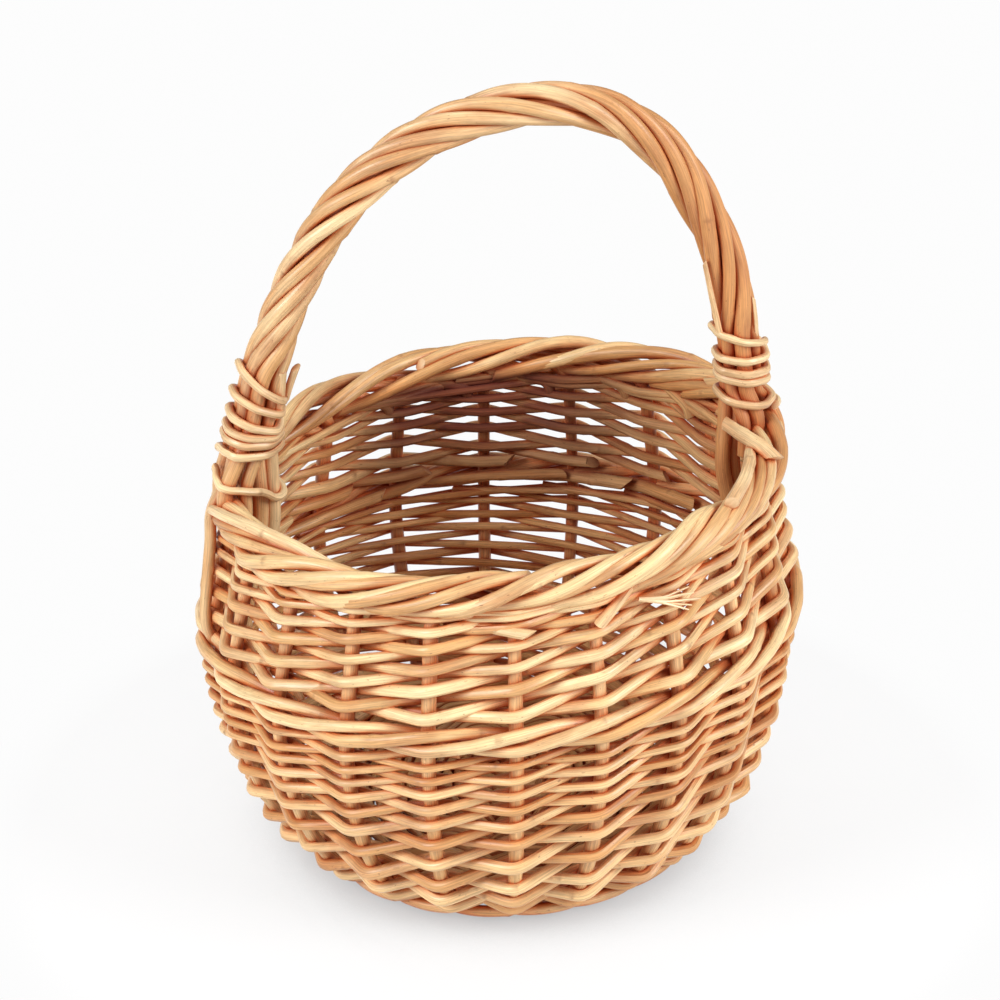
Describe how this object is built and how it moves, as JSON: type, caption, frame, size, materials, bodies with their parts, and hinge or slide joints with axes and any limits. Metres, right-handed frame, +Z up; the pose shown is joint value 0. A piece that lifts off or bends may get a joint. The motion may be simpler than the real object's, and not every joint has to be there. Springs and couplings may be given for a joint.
{
  "type": "basket",
  "caption": "Round wicker basket of peeled willow with swelling sides, a rolled border, a wale round the belly and one arched bow handle twisted like a rope and bound at both feet.",
  "frame": {"origin": "Centre of the base ring on the surface that the basket stands on, at the bottom centre of the part's box.", "axes": "+Z is up. X runs along the bow of the handle, +X to the end where the rim is a little higher. -Y is the front."},
  "size_m": [0.1987, 0.1974, 0.2519],
  "materials": {
    "willow_stake": "peeled willow rod, satin, warm honey",
    "willow_wale": "peeled willow rod, satin, warm honey",
    "willow_lower_siding": "peeled willow rod, satin, warm honey",
    "willow_upper_siding": "peeled willow rod, satin, warm honey",
    "willow_base": "peeled willow rod, satin, warm honey",
    "willow_bow": "peeled willow rod, satin, warm honey",
    "willow_wrap": "peeled willow rod, satin, warm honey",
    "willow_binding": "peeled willow rod, satin, warm honey"
  },
  "bodies": {
    "root": {"base_stick_pierced_1": "willow_base", "base_stick_pierced_2": "willow_base", "base_stick_pierced_3": "willow_base", "base_stick_through_1": "willow_base", "base_stick_through_2": "willow_base", "base_weaver_1": "willow_base", "base_weaver_2": "willow_base", "foot_wale_rod_a": "willow_wale", "foot_wale_rod_b": "willow_wale", "foot_wale_rod_c": "willow_wale", "handle_binding_left": "willow_binding", "handle_binding_right": "willow_binding", "handle_bow": "willow_bow", "handle_wrap_1": "willow_wrap", "handle_wrap_2": "willow_wrap", "handle_wrap_3": "willow_wrap", "handle_wrap_4": "willow_wrap", "handle_wrap_5": "willow_wrap", "handle_wrap_6": "willow_wrap", "lower_siding_weaver_1": "willow_lower_siding", "lower_siding_weaver_2": "willow_lower_siding", "middle_wale_rod_a": "willow_wale", "middle_wale_rod_b": "willow_wale", "middle_wale_rod_c": "willow_wale", "side_stake_01": "willow_stake", "side_stake_02": "willow_stake", "side_stake_03": "willow_stake", "side_stake_04": "willow_stake", "side_stake_05": "willow_stake", "side_stake_06": "willow_stake", "side_stake_07": "willow_stake", "side_stake_08": "willow_stake", "side_stake_09": "willow_stake", "side_stake_10": "willow_stake", "side_stake_11": "willow_stake", "side_stake_12": "willow_stake", "side_stake_13": "willow_stake", "side_stake_14": "willow_stake", "side_stake_15": "willow_stake", "side_stake_16": "willow_stake", "side_stake_17": "willow_stake", "side_stake_18": "willow_stake", "side_stake_19": "willow_stake", "side_stake_20": "willow_stake", "upper_siding_weaver_1": "willow_upper_siding", "upper_siding_weaver_2": "willow_upper_siding"}
  },
  "joints": []
}
